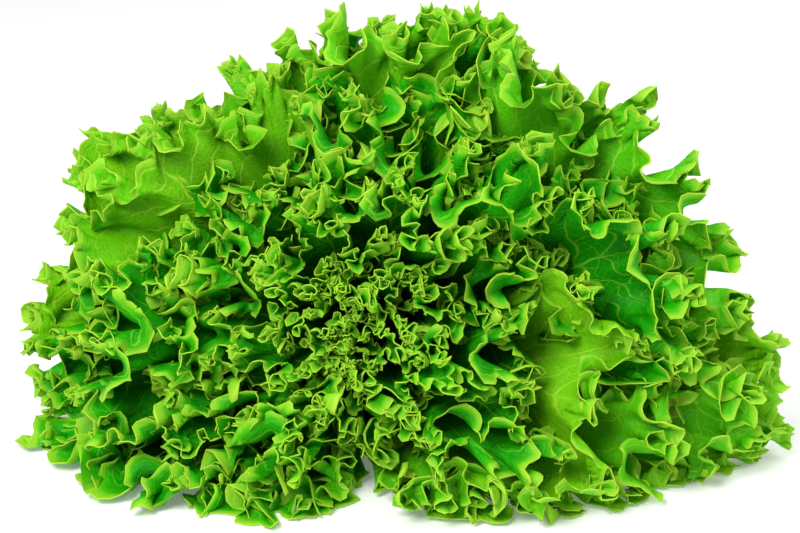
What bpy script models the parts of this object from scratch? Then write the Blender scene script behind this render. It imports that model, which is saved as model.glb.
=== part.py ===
"""Head of curly loose-leaf lettuce, lying on its side with the crown towards -Y.

Every leaf is a thin blade that leaves the cut stem in its own layer.  The layers
are surfaces of one shared map (direction round the axis, way along the leaf, layer
rank), so neighbouring blades follow each other without crossing, and the folds of
a blade stay inside the room its layer has.
"""

import math

import bmesh
import bpy
import numpy as np
from mathutils import Matrix, Vector

NAME = "lettuce_head"
LEAVES = 42
GOLDEN_ANGLE = math.radians(137.508)
CROWDING = 0.36
CROWDED_SIDE = math.radians(25.0)

# How the head lies: axis from the butt to the crown, and the place of the butt.
TILT = math.radians(72.0)
YAW = math.radians(8.0)
BUTT = np.array([-0.0147, 0.0821, 0.0242])

# Length of the outermost leaves along the arc, by direction round the axis.
REACH = {
    -180: 0.134,
    -150: 0.164,
    -120: 0.154,
    -90: 0.122,
    -60: 0.140,
    -30: 0.186,
    0: 0.186,
    30: 0.156,
    60: 0.148,
    90: 0.118,
    120: 0.100,
    150: 0.118,
}
REACH_SHARPNESS = 14.0
HEART_LENGTH = 0.080
OVER_REACH = 0.012

# Leaf roots sit on a cone: heart leaves high and close in, outer leaves low and wide.
ROOT_RADIUS_HEART = 0.003
ROOT_RADIUS_OUTER = 0.021
ROOT_HEIGHT_HEART = 0.050
ROOT_HEIGHT_OUTER = 0.010

# Stem: a cone that stays just inside the leaf roots, then the butt with its cut.
STEM_GAP = 0.0012
STEM_STEPS = 6
STEM_RADIUS = 0.0220
STEM_CUT = -0.0100
STEM_SIDES = 32

# Angles of a blade from the axis, at its root and at its tip.
ROOT_ANGLE_OUTER = math.radians(38.0)
TIP_ANGLE_HEART = math.radians(-6.0)
TIP_ANGLE_SPAN = math.radians(100.0)
LOW_ROOT_RELIEF = 0.65
LOW_TIP_RELIEF = 0.52

# The table presses the lowest leaves flat, each layer on the one outside it.
TABLE_SOFT = 0.004
TABLE_REST = 0.0003
TABLE_LAYERS = 0.012
FOOT_DEPTH = 0.0006

# Unevenness of the layers, as sines over direction and rank:
# size, waves per radian round the axis, waves per unit of rank, start.
TWIST = ((0.11, 0.0, 4.2, 1.2), (0.08, 2.0, 4.0, 0.0))
TWIST_OUTSIDE = (0.03, 3.0, 12.0, 0.0)
DRIFT = ((0.030, 13.0, 11.0, 1.0), (0.022, 8.0, -15.0, 4.0))
SWELL = (0.05, 3.0, 0.0, 2.0)
SPAN_UNEVEN = ((0.04, 5.0, 9.0, 0.0), (0.04, 9.0, -12.0, 1.0))

# Width of the leaves, as half the angle round the axis (rad), and their layers' weight.
HALF_WIDTH_HEART = 1.35
HALF_WIDTH_DROP = 0.70
ROOT_HALF_WIDTH = 0.42
LAYER_WEIGHT_HEART = 0.45
LAYER_WEIGHT_SPAN = 0.65
EDGE_COVER = 0.24

# Outline: how much of the length is lost towards the side edges, and the lobes.
SIDE_ROUNDING = 0.10
SIDE_DROP = 0.50
LOBES = 0.025
LENGTH_SPREAD = 0.05

# Blade and its folds: count from heart to outside, depth of the folded margin (m).
BLADE = 0.0009
FOLDS_HEART = 1.6
FOLDS_SPAN = 8.4
ZONE_HEART = 0.024
ZONE_SPAN = 0.032
FOLD_FILL = 0.88
FOLD_SLOPE = 1.15
FOLD_RETRACTION = 0.03
EVEN_SHARE = 0.45
PHASE_SPREAD = 0.8
FOLD_SLANT = 1.4
ROWS = 5
ROW_RUNS = (1.35, 0.62, 0.27)
LOW_ROW = 0.66

# Leaves that differ from the rule: turn (deg), length factor, strength of the folds.
CHARACTER = {
    0: (0.0, 1.00, 0.50),
    4: (0.0, 1.00, 0.80),
    7: (0.0, 1.00, 0.85),
    8: (-3.0, 0.97, 0.60),
    11: (0.0, 0.91, 1.0),
    16: (0.0, 0.89, 1.0),
    17: (0.0, 0.89, 1.0),
    18: (0.0, 0.96, 1.0),
    21: (0.0, 0.92, 1.0),
    22: (0.0, 0.93, 1.0),
    25: (0.0, 1.00, 0.80),
    26: (-4.0, 1.09, 0.40),
    29: (0.0, 1.00, 0.70),
    30: (0.0, 1.02, 0.60),
    32: (0.0, 1.00, 0.80),
    33: (0.0, 1.00, 0.60),
    34: (0.0, 1.00, 0.55),
    35: (2.0, 1.06, 0.90),
    37: (4.0, 1.07, 0.80),
    38: (-12.0, 1.00, 0.60),
    39: (0.0, 1.00, 0.60),
    40: (-8.0, 0.94, 0.50),
    41: (0.0, 1.00, 0.50),
}

CELLS = 360
DIRECTIONS = -math.pi + 2.0 * math.pi * np.arange(CELLS) / CELLS

AXIS = np.array(
    [
        -math.sin(YAW) * math.sin(TILT),
        -math.cos(YAW) * math.sin(TILT),
        math.cos(TILT),
    ]
)
SIDE = np.array([math.cos(YAW), -math.sin(YAW), 0.0])
UP = np.cross(AXIS, SIDE)


def smooth(low: float, high: float, x: np.ndarray) -> np.ndarray:
    """Smooth step of x from 0 at low to 1 at high (low may lie above high)."""
    u = np.clip((x - low) / (high - low), 0.0, 1.0)
    return u * u * (3.0 - 2.0 * u)


def wrap(angle: np.ndarray) -> np.ndarray:
    """Angle brought into -pi..pi."""
    return (angle + math.pi) % (2.0 * math.pi) - math.pi


def reach(phi: np.ndarray) -> np.ndarray:
    """Arc length of the outermost leaves in direction phi."""
    total = np.zeros_like(phi)
    weight = np.zeros_like(phi)
    for degrees, length in REACH.items():
        w = np.exp(REACH_SHARPNESS * (np.cos(phi - math.radians(degrees)) - 1.0))
        total = total + w * length
        weight = weight + w
    return total / weight


def ripple(wave: tuple, phi: np.ndarray, rank: np.ndarray) -> np.ndarray:
    """Sine over direction and rank."""
    size, per_turn, per_rank, start = wave
    return size * np.sin(per_turn * phi + per_rank * rank + start)


def place(phi: np.ndarray, way: np.ndarray, rank: np.ndarray) -> np.ndarray:
    """Point of the head for a direction, a way along the leaf and a layer rank."""
    rank = np.maximum(rank, 0.0)
    out = smooth(0.25, 1.0, way)
    for wave in TWIST:
        phi = phi + ripple(wave, phi, rank)
    phi = phi + ripple(TWIST_OUTSIDE, phi, rank) * out
    drift = sum(ripple(wave, phi, rank) for wave in DRIFT)
    rank = np.maximum(rank + smooth(0.0, 0.3, rank) * out * drift, 0.0)
    rank = rank * (1.0 + ripple(SWELL, phi, rank) * out)

    low = smooth(0.3, 1.0, -np.sin(phi))
    root = rank * ROOT_ANGLE_OUTER * (1.0 - low * LOW_ROOT_RELIEF)
    tip = TIP_ANGLE_HEART + rank**0.9 * TIP_ANGLE_SPAN * (1.0 - low * LOW_TIP_RELIEF)
    span = HEART_LENGTH + (reach(phi) - HEART_LENGTH + OVER_REACH) * rank**0.8
    for wave in SPAN_UNEVEN:
        span = span * (1.0 + ripple(wave, phi, rank))
    bend = (tip - root) / span
    bend = np.where(np.abs(bend) < 1e-3, 1e-3, bend)
    turned = root + bend * way * span
    radius = ROOT_RADIUS_HEART + (ROOT_RADIUS_OUTER - ROOT_RADIUS_HEART) * rank**0.7
    radius = radius + (np.cos(root) - np.cos(turned)) / bend
    height = ROOT_HEIGHT_HEART + (ROOT_HEIGHT_OUTER - ROOT_HEIGHT_HEART) * rank
    height = height + (np.sin(turned) - np.sin(root)) / bend
    point = (
        BUTT
        + (radius * np.cos(phi))[..., None] * SIDE
        + (radius * np.sin(phi))[..., None] * UP
        + height[..., None] * AXIS
    )
    rest = TABLE_REST + TABLE_LAYERS * np.maximum(1.0 - rank, 0.0)
    point[..., 2] = rest + TABLE_SOFT * np.logaddexp(0.0, (point[..., 2] - rest) / TABLE_SOFT)
    return point


def wobble(x: np.ndarray, seed: int, terms: int, pace: float) -> np.ndarray:
    """Gentle seeded unevenness of size about 1 along x."""
    rng = np.random.default_rng(seed)
    total = np.zeros_like(x)
    for i in range(1, terms + 1):
        swing = rng.normal() / math.sqrt(i)
        total = total + swing * np.sin(i * 1.9 * x * pace + rng.uniform(0.0, 2.0 * math.pi))
    return total / math.sqrt(terms)


def ranks() -> np.ndarray:
    """Layer rank of each leaf, 0 at the heart and 1 outside."""
    return (np.arange(LEAVES) + 0.5) / LEAVES


def azimuths() -> np.ndarray:
    """Direction of each leaf: golden angle, crowded towards the long side."""
    turn = np.arange(LEAVES) * GOLDEN_ANGLE
    phi = turn - CROWDING * np.sin(turn - CROWDED_SIDE)
    for leaf, (degrees, _, _) in CHARACTER.items():
        phi[leaf] += math.radians(degrees)
    return phi


def half_widths() -> np.ndarray:
    """Half the angle each leaf takes round the axis."""
    return HALF_WIDTH_HEART - HALF_WIDTH_DROP * np.sqrt(ranks())


def layer_room() -> tuple[np.ndarray, np.ndarray]:
    """Middle and half thickness, in rank, of each leaf's layer by direction."""
    away = np.abs(wrap(DIRECTIONS[None, :] - azimuths()[:, None])) / half_widths()[:, None]
    weight = (LAYER_WEIGHT_HEART + LAYER_WEIGHT_SPAN * ranks())[:, None]
    cover = EDGE_COVER * smooth(1.3, 0.95, away) + (1.0 - EDGE_COVER) * smooth(1.06, 0.5, away)
    cover = weight * cover
    total = cover.sum(axis=0)
    middle = (np.cumsum(cover, axis=0) - cover / 2.0) / total
    half = cover / 2.0 / total
    narrowest = np.minimum.reduce([np.roll(half, step, axis=1) for step in (-8, -4, 0, 4, 8)])
    return middle, narrowest


def look_up(table: np.ndarray, phi: np.ndarray) -> np.ndarray:
    """Value of a table over DIRECTIONS, between its cells."""
    x = (wrap(phi) + math.pi) / (2.0 * math.pi) * CELLS
    cell = np.floor(x).astype(int) % CELLS
    part = x - np.floor(x)
    return table[cell] * (1.0 - part) + table[(cell + 1) % CELLS] * part


class Leaf:
    """One blade: its layer, its outline and its main folds."""

    def __init__(self, number: int, middle: np.ndarray, half: np.ndarray):
        self.number = number
        self.rank = float(ranks()[number])
        self.phi = float(azimuths()[number])
        self.half_width = float(half_widths()[number])
        self.middle = middle[number]
        self.half = half[number]
        self.rng_seed = 7 * number
        _, stretch, self.calm = CHARACTER.get(number, (0.0, 1.0, 1.0))
        uneven = np.random.default_rng(100 + number).uniform(-1.0, 1.0)
        self.length = stretch * (1.0 + LENGTH_SPREAD * uneven)
        self.half_waves = 2 * round(FOLDS_HEART + FOLDS_SPAN * self.rank**0.6)
        self.columns = 2 * self.half_waves
        arc = float(reach(np.array([self.phi]))[0])
        self.arc = HEART_LENGTH + (arc - HEART_LENGTH + OVER_REACH) * self.rank**0.8
        self.zone = ZONE_HEART + ZONE_SPAN * self.rank
        self.margin_a, self.margin_share, length = self.margin()
        self.fold_height = FOLD_SLOPE * length / self.columns

    def margin(self) -> tuple[np.ndarray, np.ndarray, float]:
        """Places across the blade, share of the unfolded margin before them, its length."""
        a = np.linspace(-1.0, 1.0, 101)
        phi, way = self.outline(a, np.ones_like(a))
        line = place(phi, way, look_up(self.middle, phi))
        steps = np.linalg.norm(np.diff(line, axis=0), axis=1)
        run = np.concatenate([[0.0], np.cumsum(steps)])
        return a, run / run[-1], float(run[-1])

    def room(self, phi: np.ndarray, way: np.ndarray) -> np.ndarray:
        """Height of the folds, in rank, that the layer and the wave length allow."""
        rank = look_up(self.middle, phi)
        step = 0.004
        rise = np.linalg.norm(place(phi, way, rank + step) - place(phi, way, rank - step), axis=-1)
        return np.minimum(look_up(self.half, phi) * FOLD_FILL, self.fold_height * 2.0 * step / rise)

    def wave_angle(self, a: np.ndarray, t: np.ndarray) -> np.ndarray:
        """Phase of the main folds, 0 at one side edge and full at the other."""
        uneven = (1.0 - a * a) * self.half_waves / 20.0
        by_length = np.interp(a, self.margin_a, self.margin_share)
        share = EVEN_SHARE * (a + 1.0) / 2.0 + (1.0 - EVEN_SHARE) * by_length
        angle = math.pi * self.half_waves * share
        angle = angle + PHASE_SPREAD * uneven * wobble(a, self.rng_seed + 1, 4, 1.0)
        slant = FOLD_SLANT * uneven * wobble(a, self.rng_seed + 2, 3, 1.3)
        return angle + slant * (t - 1.0)

    def margin_power(self, a: np.ndarray) -> np.ndarray:
        """How quickly the way along the leaf runs out towards the margin."""
        return 1.0 + 0.7 * a * a

    def outline(self, a: np.ndarray, t: np.ndarray) -> tuple[np.ndarray, np.ndarray]:
        """Direction and way along the leaf of a point of the blade."""
        edge = np.abs(a)
        side = smooth(0.62, 1.0, edge)
        lobes = LOBES * wobble(a, self.rng_seed + 4, 5, 2.0) * (1.0 - side)
        way = self.length * (1.0 - SIDE_ROUNDING * a * a - SIDE_DROP * side**1.5 + lobes)
        fanned = self.half_width * a / (0.12 + 0.94 * edge**4 + 0.76 * (1.0 - edge**4))
        open_up = t ** (0.90 + 0.3 * edge)
        phi = self.phi + ROOT_HALF_WIDTH * a * (1.0 - open_up) + fanned * open_up
        return phi, way * (1.0 - (1.0 - t) ** self.margin_power(a))

    def points(self, a: np.ndarray, t: np.ndarray) -> np.ndarray:
        """Points of the middle surface of the blade with its main folds."""
        to_margin = self.arc * (1.0 - t) ** self.margin_power(a)
        grow = np.clip(1.0 - to_margin / self.zone, 0.0, 1.0) ** 1.5
        amount = np.clip(0.95 + 0.25 * wobble(a, self.rng_seed + 3, 6, 1.6), 0.5, 1.15)
        amount = amount * (1.0 - 0.45 * smooth(0.7, 1.0, np.abs(a)))
        wave = np.sin(self.wave_angle(a, t)) * amount * self.calm
        phi, way = self.outline(a, t)
        crown = 1.0 - smooth(0.55, 0.85, np.abs(a))
        way = way * (1.0 - crown * FOLD_RETRACTION * wave**2 * grow**2)
        rank = look_up(self.middle, phi) + grow * wave * self.room(phi, way)
        return place(phi, way, rank)

    def grid(self) -> np.ndarray:
        """Rows of points from the root to the margin, with shared columns low down."""
        column = np.arange(self.columns + 1)
        crest = np.where(column % 2 == 1, column, np.minimum(column + 1, self.columns))
        crest[0] = 0
        shares = [self.snap(3), self.snap(6), self.snap(self.columns // 3), crest, column, column]
        distance = [1.0, LOW_ROW] + [run * self.zone / self.arc for run in ROW_RUNS] + [0.0]
        fine = np.linspace(-1.0, 1.0, 2001)
        rows = []
        for share, far in zip(shares, distance):
            fine_t = 1.0 - far ** (1.0 / self.margin_power(fine))
            angle = self.wave_angle(fine, fine_t)
            a = np.interp(share * math.pi / 2.0, angle, fine)
            t = 1.0 - far ** (1.0 / self.margin_power(a))
            rows.append(self.points(a, t))
        return np.array(rows)

    def snap(self, pieces: int) -> np.ndarray:
        """Columns gathered onto a few evenly spaced ones."""
        column = np.arange(self.columns + 1)
        return np.round(column * pieces / self.columns) * self.columns / pieces


def make_material(name: str, colour: tuple[float, float, float], rough: float):
    """Plain principled material."""
    material = bpy.data.materials.new(name)
    material.use_nodes = True
    shader = material.node_tree.nodes["Principled BSDF"]
    shader.inputs["Base Color"].default_value = (*colour, 1.0)
    shader.inputs["Roughness"].default_value = rough
    return material


def flatten_foot(piece) -> None:
    """Apply the modifiers and bring what nearly touches the table down to it."""
    view = bpy.context.evaluated_depsgraph_get()
    mesh = bpy.data.meshes.new_from_object(piece.evaluated_get(view))
    mesh.transform(piece.matrix_world)
    piece.modifiers.clear()
    piece.data = mesh
    piece.matrix_world = Matrix.Identity(4)
    for vert in mesh.vertices:
        if vert.co.z < FOOT_DEPTH:
            vert.co.z = 0.0


def add_leaf(leaf: Leaf, collection) -> None:
    """Blade of one leaf: a bent grid with thickness."""
    points = leaf.grid()
    bm = bmesh.new()
    bmesh.ops.create_grid(bm, x_segments=leaf.columns, y_segments=ROWS, size=0.5)
    for vert in bm.verts:
        column = round((vert.co.x + 0.5) * leaf.columns)
        row = round((vert.co.y + 0.5) * ROWS)
        vert.co = points[row, column]
    bmesh.ops.remove_doubles(bm, verts=bm.verts, dist=1e-6)
    bmesh.ops.triangulate(bm, faces=bm.faces)
    name = f"leaf_{leaf.number + 1:02d}"
    mesh = bpy.data.meshes.new(name)
    bm.to_mesh(mesh)
    bm.free()
    blade = bpy.data.objects.new(name, mesh)
    collection.objects.link(blade)
    solid = blade.modifiers.new("blade", "SOLIDIFY")
    solid.thickness = BLADE
    solid.offset = 0.0
    flatten_foot(blade)
    shade = 0.5 + 0.5 * leaf.rank
    blade.data.materials.append(make_material(name, (0.10 * shade, 0.36 * shade, 0.01), 0.5))


def add_stem(collection) -> None:
    """Turned stem inside the leaf roots, with the flat cut face at the bottom."""
    outline = [(0.0, ROOT_HEIGHT_HEART + 0.001)]
    for step in range(STEM_STEPS + 1):
        rank = step / STEM_STEPS
        radius = ROOT_RADIUS_HEART + (ROOT_RADIUS_OUTER - ROOT_RADIUS_HEART) * rank**0.7
        height = ROOT_HEIGHT_HEART + (ROOT_HEIGHT_OUTER - ROOT_HEIGHT_HEART) * rank
        outline.append((radius - STEM_GAP, height))
    outline += [(STEM_RADIUS - 0.0010, 0.0065), (STEM_RADIUS, 0.0030), (STEM_RADIUS, -0.0090)]
    outline += [(STEM_RADIUS - 0.0012, STEM_CUT), (0.0, STEM_CUT)]
    mesh = bpy.data.meshes.new("stem")
    bm = bmesh.new()
    verts = [bm.verts.new((radius, 0.0, height)) for radius, height in outline]
    for upper, lower in zip(verts, verts[1:]):
        bm.edges.new((upper, lower))
    bm.to_mesh(mesh)
    bm.free()
    stem = bpy.data.objects.new("stem", mesh)
    collection.objects.link(stem)
    turn = stem.modifiers.new("turn", "SCREW")
    turn.steps = STEM_SIDES
    turn.render_steps = STEM_SIDES
    turn.use_merge_vertices = True
    turn.merge_threshold = 0.00001
    lean = Vector(AXIS).to_track_quat("Z", "X").to_matrix().to_4x4()
    stem.matrix_world = Matrix.Translation(BUTT) @ lean
    bpy.context.view_layer.update()
    flatten_foot(stem)
    stem.data.materials.append(make_material("stem", (0.62, 0.68, 0.38), 0.6))


def main() -> None:
    """Build the stem and the leaves."""
    for old in list(bpy.data.objects):
        bpy.data.objects.remove(old, do_unlink=True)
    collection = bpy.data.collections.new(NAME)
    bpy.context.scene.collection.children.link(collection)
    add_stem(collection)
    middle, half = layer_room()
    for number in range(LEAVES):
        add_leaf(Leaf(number, middle, half), collection)


main()
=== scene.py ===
"""Head of curly loose-leaf lettuce: fine leaves, stem, light and camera.

The rosette repeats the layers of the solids: direction round the axis, way along the
leaf and layer rank.  Each leaf takes the place of its solid and adds what the solid
leaves out: curled frills, a toothed margin, a midrib, veins and the leaf's own colours.
"""

import logging
import math
from dataclasses import dataclass, field, replace
from enum import Enum

import bpy
import numpy as np
from mathutils import Matrix, Vector


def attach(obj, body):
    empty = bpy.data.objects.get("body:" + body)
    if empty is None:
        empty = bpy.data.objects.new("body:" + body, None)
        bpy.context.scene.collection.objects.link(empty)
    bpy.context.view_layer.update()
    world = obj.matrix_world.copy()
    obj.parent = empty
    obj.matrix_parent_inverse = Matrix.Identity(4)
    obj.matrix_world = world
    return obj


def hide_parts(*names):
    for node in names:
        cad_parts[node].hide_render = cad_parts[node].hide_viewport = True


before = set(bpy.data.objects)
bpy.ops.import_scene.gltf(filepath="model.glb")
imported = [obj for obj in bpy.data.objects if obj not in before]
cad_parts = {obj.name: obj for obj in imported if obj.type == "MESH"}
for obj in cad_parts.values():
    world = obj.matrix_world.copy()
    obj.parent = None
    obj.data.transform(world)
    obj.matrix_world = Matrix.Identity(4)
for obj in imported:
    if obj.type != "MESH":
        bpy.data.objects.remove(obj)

BODY = "root"
FULL_TURN = 2.0 * math.pi
GOLDEN_ANGLE = math.radians(137.508)
MERGE_DISTANCE = 1e-6
LEAST_LENGTH = 1e-12
MILLIMETRES = 1000.0
WHITE = (1.0, 1.0, 1.0, 1.0)

log = logging.getLogger("lettuce")


def smooth(low: float, high: float, x: np.ndarray) -> np.ndarray:
    """Smooth step of x.

    Args:
        low: where the step starts; it may lie above high.
        high: where the step ends.
        x: values.

    Returns:
        0 at low, 1 at high.
    """
    u = np.clip((x - low) / (high - low), 0.0, 1.0)
    return u * u * (3.0 - 2.0 * u)


def wrap(angle: np.ndarray) -> np.ndarray:
    """Angle brought into -pi..pi."""
    return (angle + math.pi) % FULL_TURN - math.pi


def unit(v: np.ndarray) -> np.ndarray:
    """Vectors brought to length 1."""
    return v / (np.linalg.norm(v, axis=-1, keepdims=True) + LEAST_LENGTH)


def mesh_points(mesh: bpy.types.Mesh) -> np.ndarray:
    """Vertices of a mesh.

    Args:
        mesh: the mesh.

    Returns:
        One row of x, y and z (m) for each vertex.
    """
    co = np.zeros(len(mesh.vertices) * 3, np.float32)
    mesh.vertices.foreach_get("co", co)
    return co.reshape(-1, 3)


def move_points(mesh: bpy.types.Mesh, points: np.ndarray) -> None:
    """Put the vertices of a mesh at new places.

    Args:
        mesh: the mesh.
        points: one row of x, y and z (m) for each vertex.
    """
    mesh.vertices.foreach_set("co", points.astype(np.float32).reshape(-1))
    mesh.update()


def write_values(mesh: bpy.types.Mesh, values: dict) -> None:
    """Keep for the finish what it reads at each vertex.

    Args:
        mesh: the mesh.
        values: by name, one value for each vertex.
    """
    for name, value in values.items():
        attribute = mesh.attributes.new(name, "FLOAT", "POINT")
        attribute.data.foreach_set("value", value.astype(np.float32))


@dataclass(frozen=True)
class Uneven:
    """Gentle seeded unevenness across a leaf: a few sines of falling size.

    Attributes:
        seed: added to the leaf's own seed.
        terms: number of sines.
        pace: how quickly it changes.
        swing: size of the swing.
        mean: value that it swings about.
        limits: least and greatest value.
        beat: phase of the first sine for each step across, at pace 1.
    """

    seed: int
    terms: int
    pace: float
    swing: float = 1.0
    mean: float = 0.0
    limits: tuple = (-math.inf, math.inf)
    beat: float = 1.9

    def at(self, x: np.ndarray, leaf_seed: int) -> np.ndarray:
        """Unevenness at places across a leaf.

        Args:
            x: places.
            leaf_seed: the leaf's own seed.

        Returns:
            Value at each place.
        """
        rng = np.random.default_rng(leaf_seed + self.seed)
        total = np.zeros_like(x)
        for i in range(1, self.terms + 1):
            size = rng.normal() / math.sqrt(i)
            total = total + size * np.sin(i * self.beat * x * self.pace + rng.uniform(0.0, FULL_TURN))
        return np.clip(self.mean + self.swing * (total / math.sqrt(self.terms)), *self.limits)


@dataclass(frozen=True)
class Ripple:
    """Sine over direction and layer rank.

    Attributes:
        size: height of the sine.
        per_turn: phase for each radian of direction.
        per_rank: phase for each unit of rank.
        start: phase at the start (rad).
    """

    size: float
    per_turn: float
    per_rank: float
    start: float

    def at(self, phi: np.ndarray, rank: np.ndarray) -> np.ndarray:
        """Value for directions and ranks."""
        return self.size * np.sin(self.per_turn * phi + self.per_rank * rank + self.start)


@dataclass(frozen=True)
class Character:
    """What sets one leaf apart.

    Attributes:
        turn: turn round the axis (deg).
        stretch: length factor.
        calm: strength of its folds.
        roll: extra roll of its margin, 1 for outwards by the full angle.
        light: how much painted light its face takes, 0 to 1: drawn lighter and more veined, as where light
            falls on it and shines through it.
        wave: size factor of its curls.
    """

    turn: float = 0.0
    stretch: float = 1.0
    calm: float = 1.0
    roll: float = 0.0
    light: float = 0.0
    wave: float = 1.0


@dataclass(frozen=True)
class YoungSeries:
    """Shorter leaves, each inside an older one.

    Attributes:
        hosts: numbers of the older leaves.
        length: least and greatest length, as a share of the older leaf's.
        layer: way inwards from the older leaf, in half thicknesses of its layer.
        turn: turn to one side, as a share of the older leaf's half width.
    """

    hosts: tuple
    length: tuple
    layer: float
    turn: float


@dataclass(frozen=True)
class LeafPlan:
    """Where one leaf grows.

    Attributes:
        name: name of the piece.
        number: place in the growth order, which also seeds its unevenness.
        rank: layer rank, 0 at the heart and 1 outside.
        phi: direction round the axis (rad).
        half_width: half the angle that it takes round the axis (rad).
        middle: rank of its layer's middle by direction.
        half: half thickness of its layer by direction, in rank.
        character: what sets it apart.
    """

    name: str
    number: int
    rank: float
    phi: float
    half_width: float
    middle: np.ndarray
    half: np.ndarray
    character: Character


@dataclass(frozen=True)
class Rosette:
    """Layers of the whole head, lying on its side with the crown towards -Y.

    Lengths are in metres and angles in radians, but for the directions in reaches, which
    are in degrees.  A pair named for the root is the size in the heart and outside.

    Attributes:
        tilt: angle of the axis from upright.
        butt: middle of the stem where the outer leaves leave it.
        crowding: how strongly the leaves crowd towards crowded_side.
        reaches: arc length of the outermost leaves by direction.
        tip_angle: angle of a heart leaf's tip from the axis; tip_span is added outside.
        low_root_relief: share by which the lowest leaves open less, at the root.
        table_soft: height over which leaves give way to the surface.
        table_layers: height of the pressed heart above the outermost pressed leaf.
        edge_cover: share of a layer's thickness that its leaf keeps to its side edges.
        cells: directions in the tables of the layers.
        soften: cells on both sides whose least thickness a cell takes.
    """

    leaves: int = 42
    tilt: float = math.radians(72.0)
    yaw: float = math.radians(8.0)
    butt: tuple = (-0.0147, 0.0821, 0.0242)
    crowding: float = 0.36
    crowded_side: float = math.radians(25.0)

    reaches: tuple = (
        (-180, 0.148),
        (-168, 0.171),
        (-150, 0.161),
        (-135, 0.143),
        (-120, 0.153),
        (-103, 0.160),
        (-80, 0.116),
        (-60, 0.143),
        (-40, 0.166),
        (-22, 0.183),
        (-6, 0.181),
        (8, 0.157),
        (20, 0.148),
        (32, 0.158),
        (49, 0.165),
        (70, 0.138),
        (88, 0.136),
        (102, 0.132),
        (121, 0.092),
        (138, 0.129),
        (155, 0.136),
    )
    reach_sharpness: float = 30.0
    heart_length: float = 0.080
    over_reach: float = 0.012
    length_power: float = 0.8

    root_radius: tuple = (0.003, 0.021)
    root_radius_power: float = 0.7
    root_height: tuple = (0.050, 0.010)
    root_angle: float = math.radians(38.0)
    tip_angle: float = math.radians(-6.0)
    tip_span: float = math.radians(100.0)
    tip_power: float = 0.9
    low_side: tuple = (0.3, 1.0)
    low_root_relief: float = 0.65
    low_tip_relief: float = 0.52
    least_bend: float = 1e-3

    table_soft: float = 0.004
    table_rest: float = 0.0003
    table_layers: float = 0.012

    twist: tuple = (Ripple(0.11, 0.0, 4.2, 1.2), Ripple(0.08, 2.0, 4.0, 0.0))
    twist_outside: Ripple = Ripple(0.03, 3.0, 12.0, 0.0)
    drift: tuple = (Ripple(0.030, 13.0, 11.0, 1.0), Ripple(0.022, 8.0, -15.0, 4.0))
    drift_way: tuple = (0.25, 1.0)
    drift_rank: tuple = (0.0, 0.3)
    swell: Ripple = Ripple(0.05, 3.0, 0.0, 2.0)
    span_uneven: tuple = (Ripple(0.04, 5.0, 9.0, 0.0), Ripple(0.04, 9.0, -12.0, 1.0))

    half_width_heart: float = 1.35
    half_width_drop: float = 0.70
    layer_weight: tuple = (0.45, 0.65)
    edge_cover: float = 0.24
    edge_zone: tuple = (1.3, 0.95)
    blade_zone: tuple = (1.06, 0.5)
    cells: int = 360
    soften: tuple = (-8, -4, 0, 4, 8)

    young: tuple = (
        YoungSeries((25, 27, 29, 30, 32, 33, 34, 35, 37, 38, 39, 40), (0.78, 0.87), 1.2, 0.38),
        YoungSeries((25, 33, 34, 35, 37, 38, 40), (0.89, 0.97), 0.6, -0.38),
        YoungSeries((25, 29, 30, 35, 37), (0.88, 0.94), 0.9, 0.0),
    )
    young_seed: int = 5
    young_width: float = 0.80
    young_layer: float = 0.6
    young_calm: float = 0.9

    characters: dict = field(
        default_factory=lambda: {
            0: Character(calm=0.50),
            4: Character(calm=0.80),
            7: Character(calm=0.85),
            8: Character(turn=-3.0, stretch=0.97, calm=0.60),
            11: Character(stretch=0.91),
            16: Character(stretch=0.89),
            17: Character(stretch=0.89),
            18: Character(stretch=0.96),
            21: Character(stretch=0.92),
            22: Character(stretch=0.93),
            25: Character(stretch=1.08, calm=0.80),
            26: Character(turn=-4.0, stretch=1.10, calm=0.35, light=0.9),
            28: Character(wave=1.3),
            29: Character(stretch=1.14, calm=0.70),
            30: Character(turn=-8.0, stretch=1.13, calm=0.60, roll=0.4, light=0.7),
            31: Character(calm=0.80, light=0.4, wave=1.4),
            32: Character(stretch=0.88, calm=0.80),
            33: Character(turn=-6.0, stretch=0.99, calm=0.60, wave=1.3),
            34: Character(turn=5.0, stretch=0.96, calm=0.55, roll=0.1, light=0.4),
            35: Character(turn=-7.0, stretch=1.05, calm=0.90, light=0.6),
            36: Character(calm=0.70, light=0.3, wave=1.5),
            37: Character(turn=2.0, stretch=1.05, calm=0.80, light=0.4),
            38: Character(turn=-12.0, stretch=1.03, calm=0.60, light=1.0),
            39: Character(turn=4.0, calm=0.60, roll=0.3, light=1.0, wave=1.2),
            40: Character(turn=-6.0, stretch=0.95, calm=0.50, roll=0.2, light=0.5),
            41: Character(calm=0.50, wave=1.5),
        }
    )

    @property
    def axis(self) -> np.ndarray:
        """Direction from the butt to the crown."""
        level = math.sin(self.tilt)
        return np.array([-math.sin(self.yaw) * level, -math.cos(self.yaw) * level, math.cos(self.tilt)])

    @property
    def side(self) -> np.ndarray:
        """Level direction square to the axis."""
        return np.array([math.cos(self.yaw), -math.sin(self.yaw), 0.0])

    @property
    def ranks(self) -> np.ndarray:
        """Layer rank of each leaf, 0 at the heart and 1 outside."""
        return (np.arange(self.leaves) + 0.5) / self.leaves

    @property
    def azimuths(self) -> np.ndarray:
        """Turn each leaf by the golden angle, crowded towards the long side.

        Returns:
            Direction of each leaf round the axis.
        """
        turn = np.arange(self.leaves) * GOLDEN_ANGLE
        phi = turn - self.crowding * np.sin(turn - self.crowded_side)
        for leaf, character in self.characters.items():
            phi[leaf] += math.radians(character.turn)
        return phi

    @property
    def half_widths(self) -> np.ndarray:
        """Half the angle that each leaf takes round the axis."""
        return self.half_width_heart - self.half_width_drop * np.sqrt(self.ranks)

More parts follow.
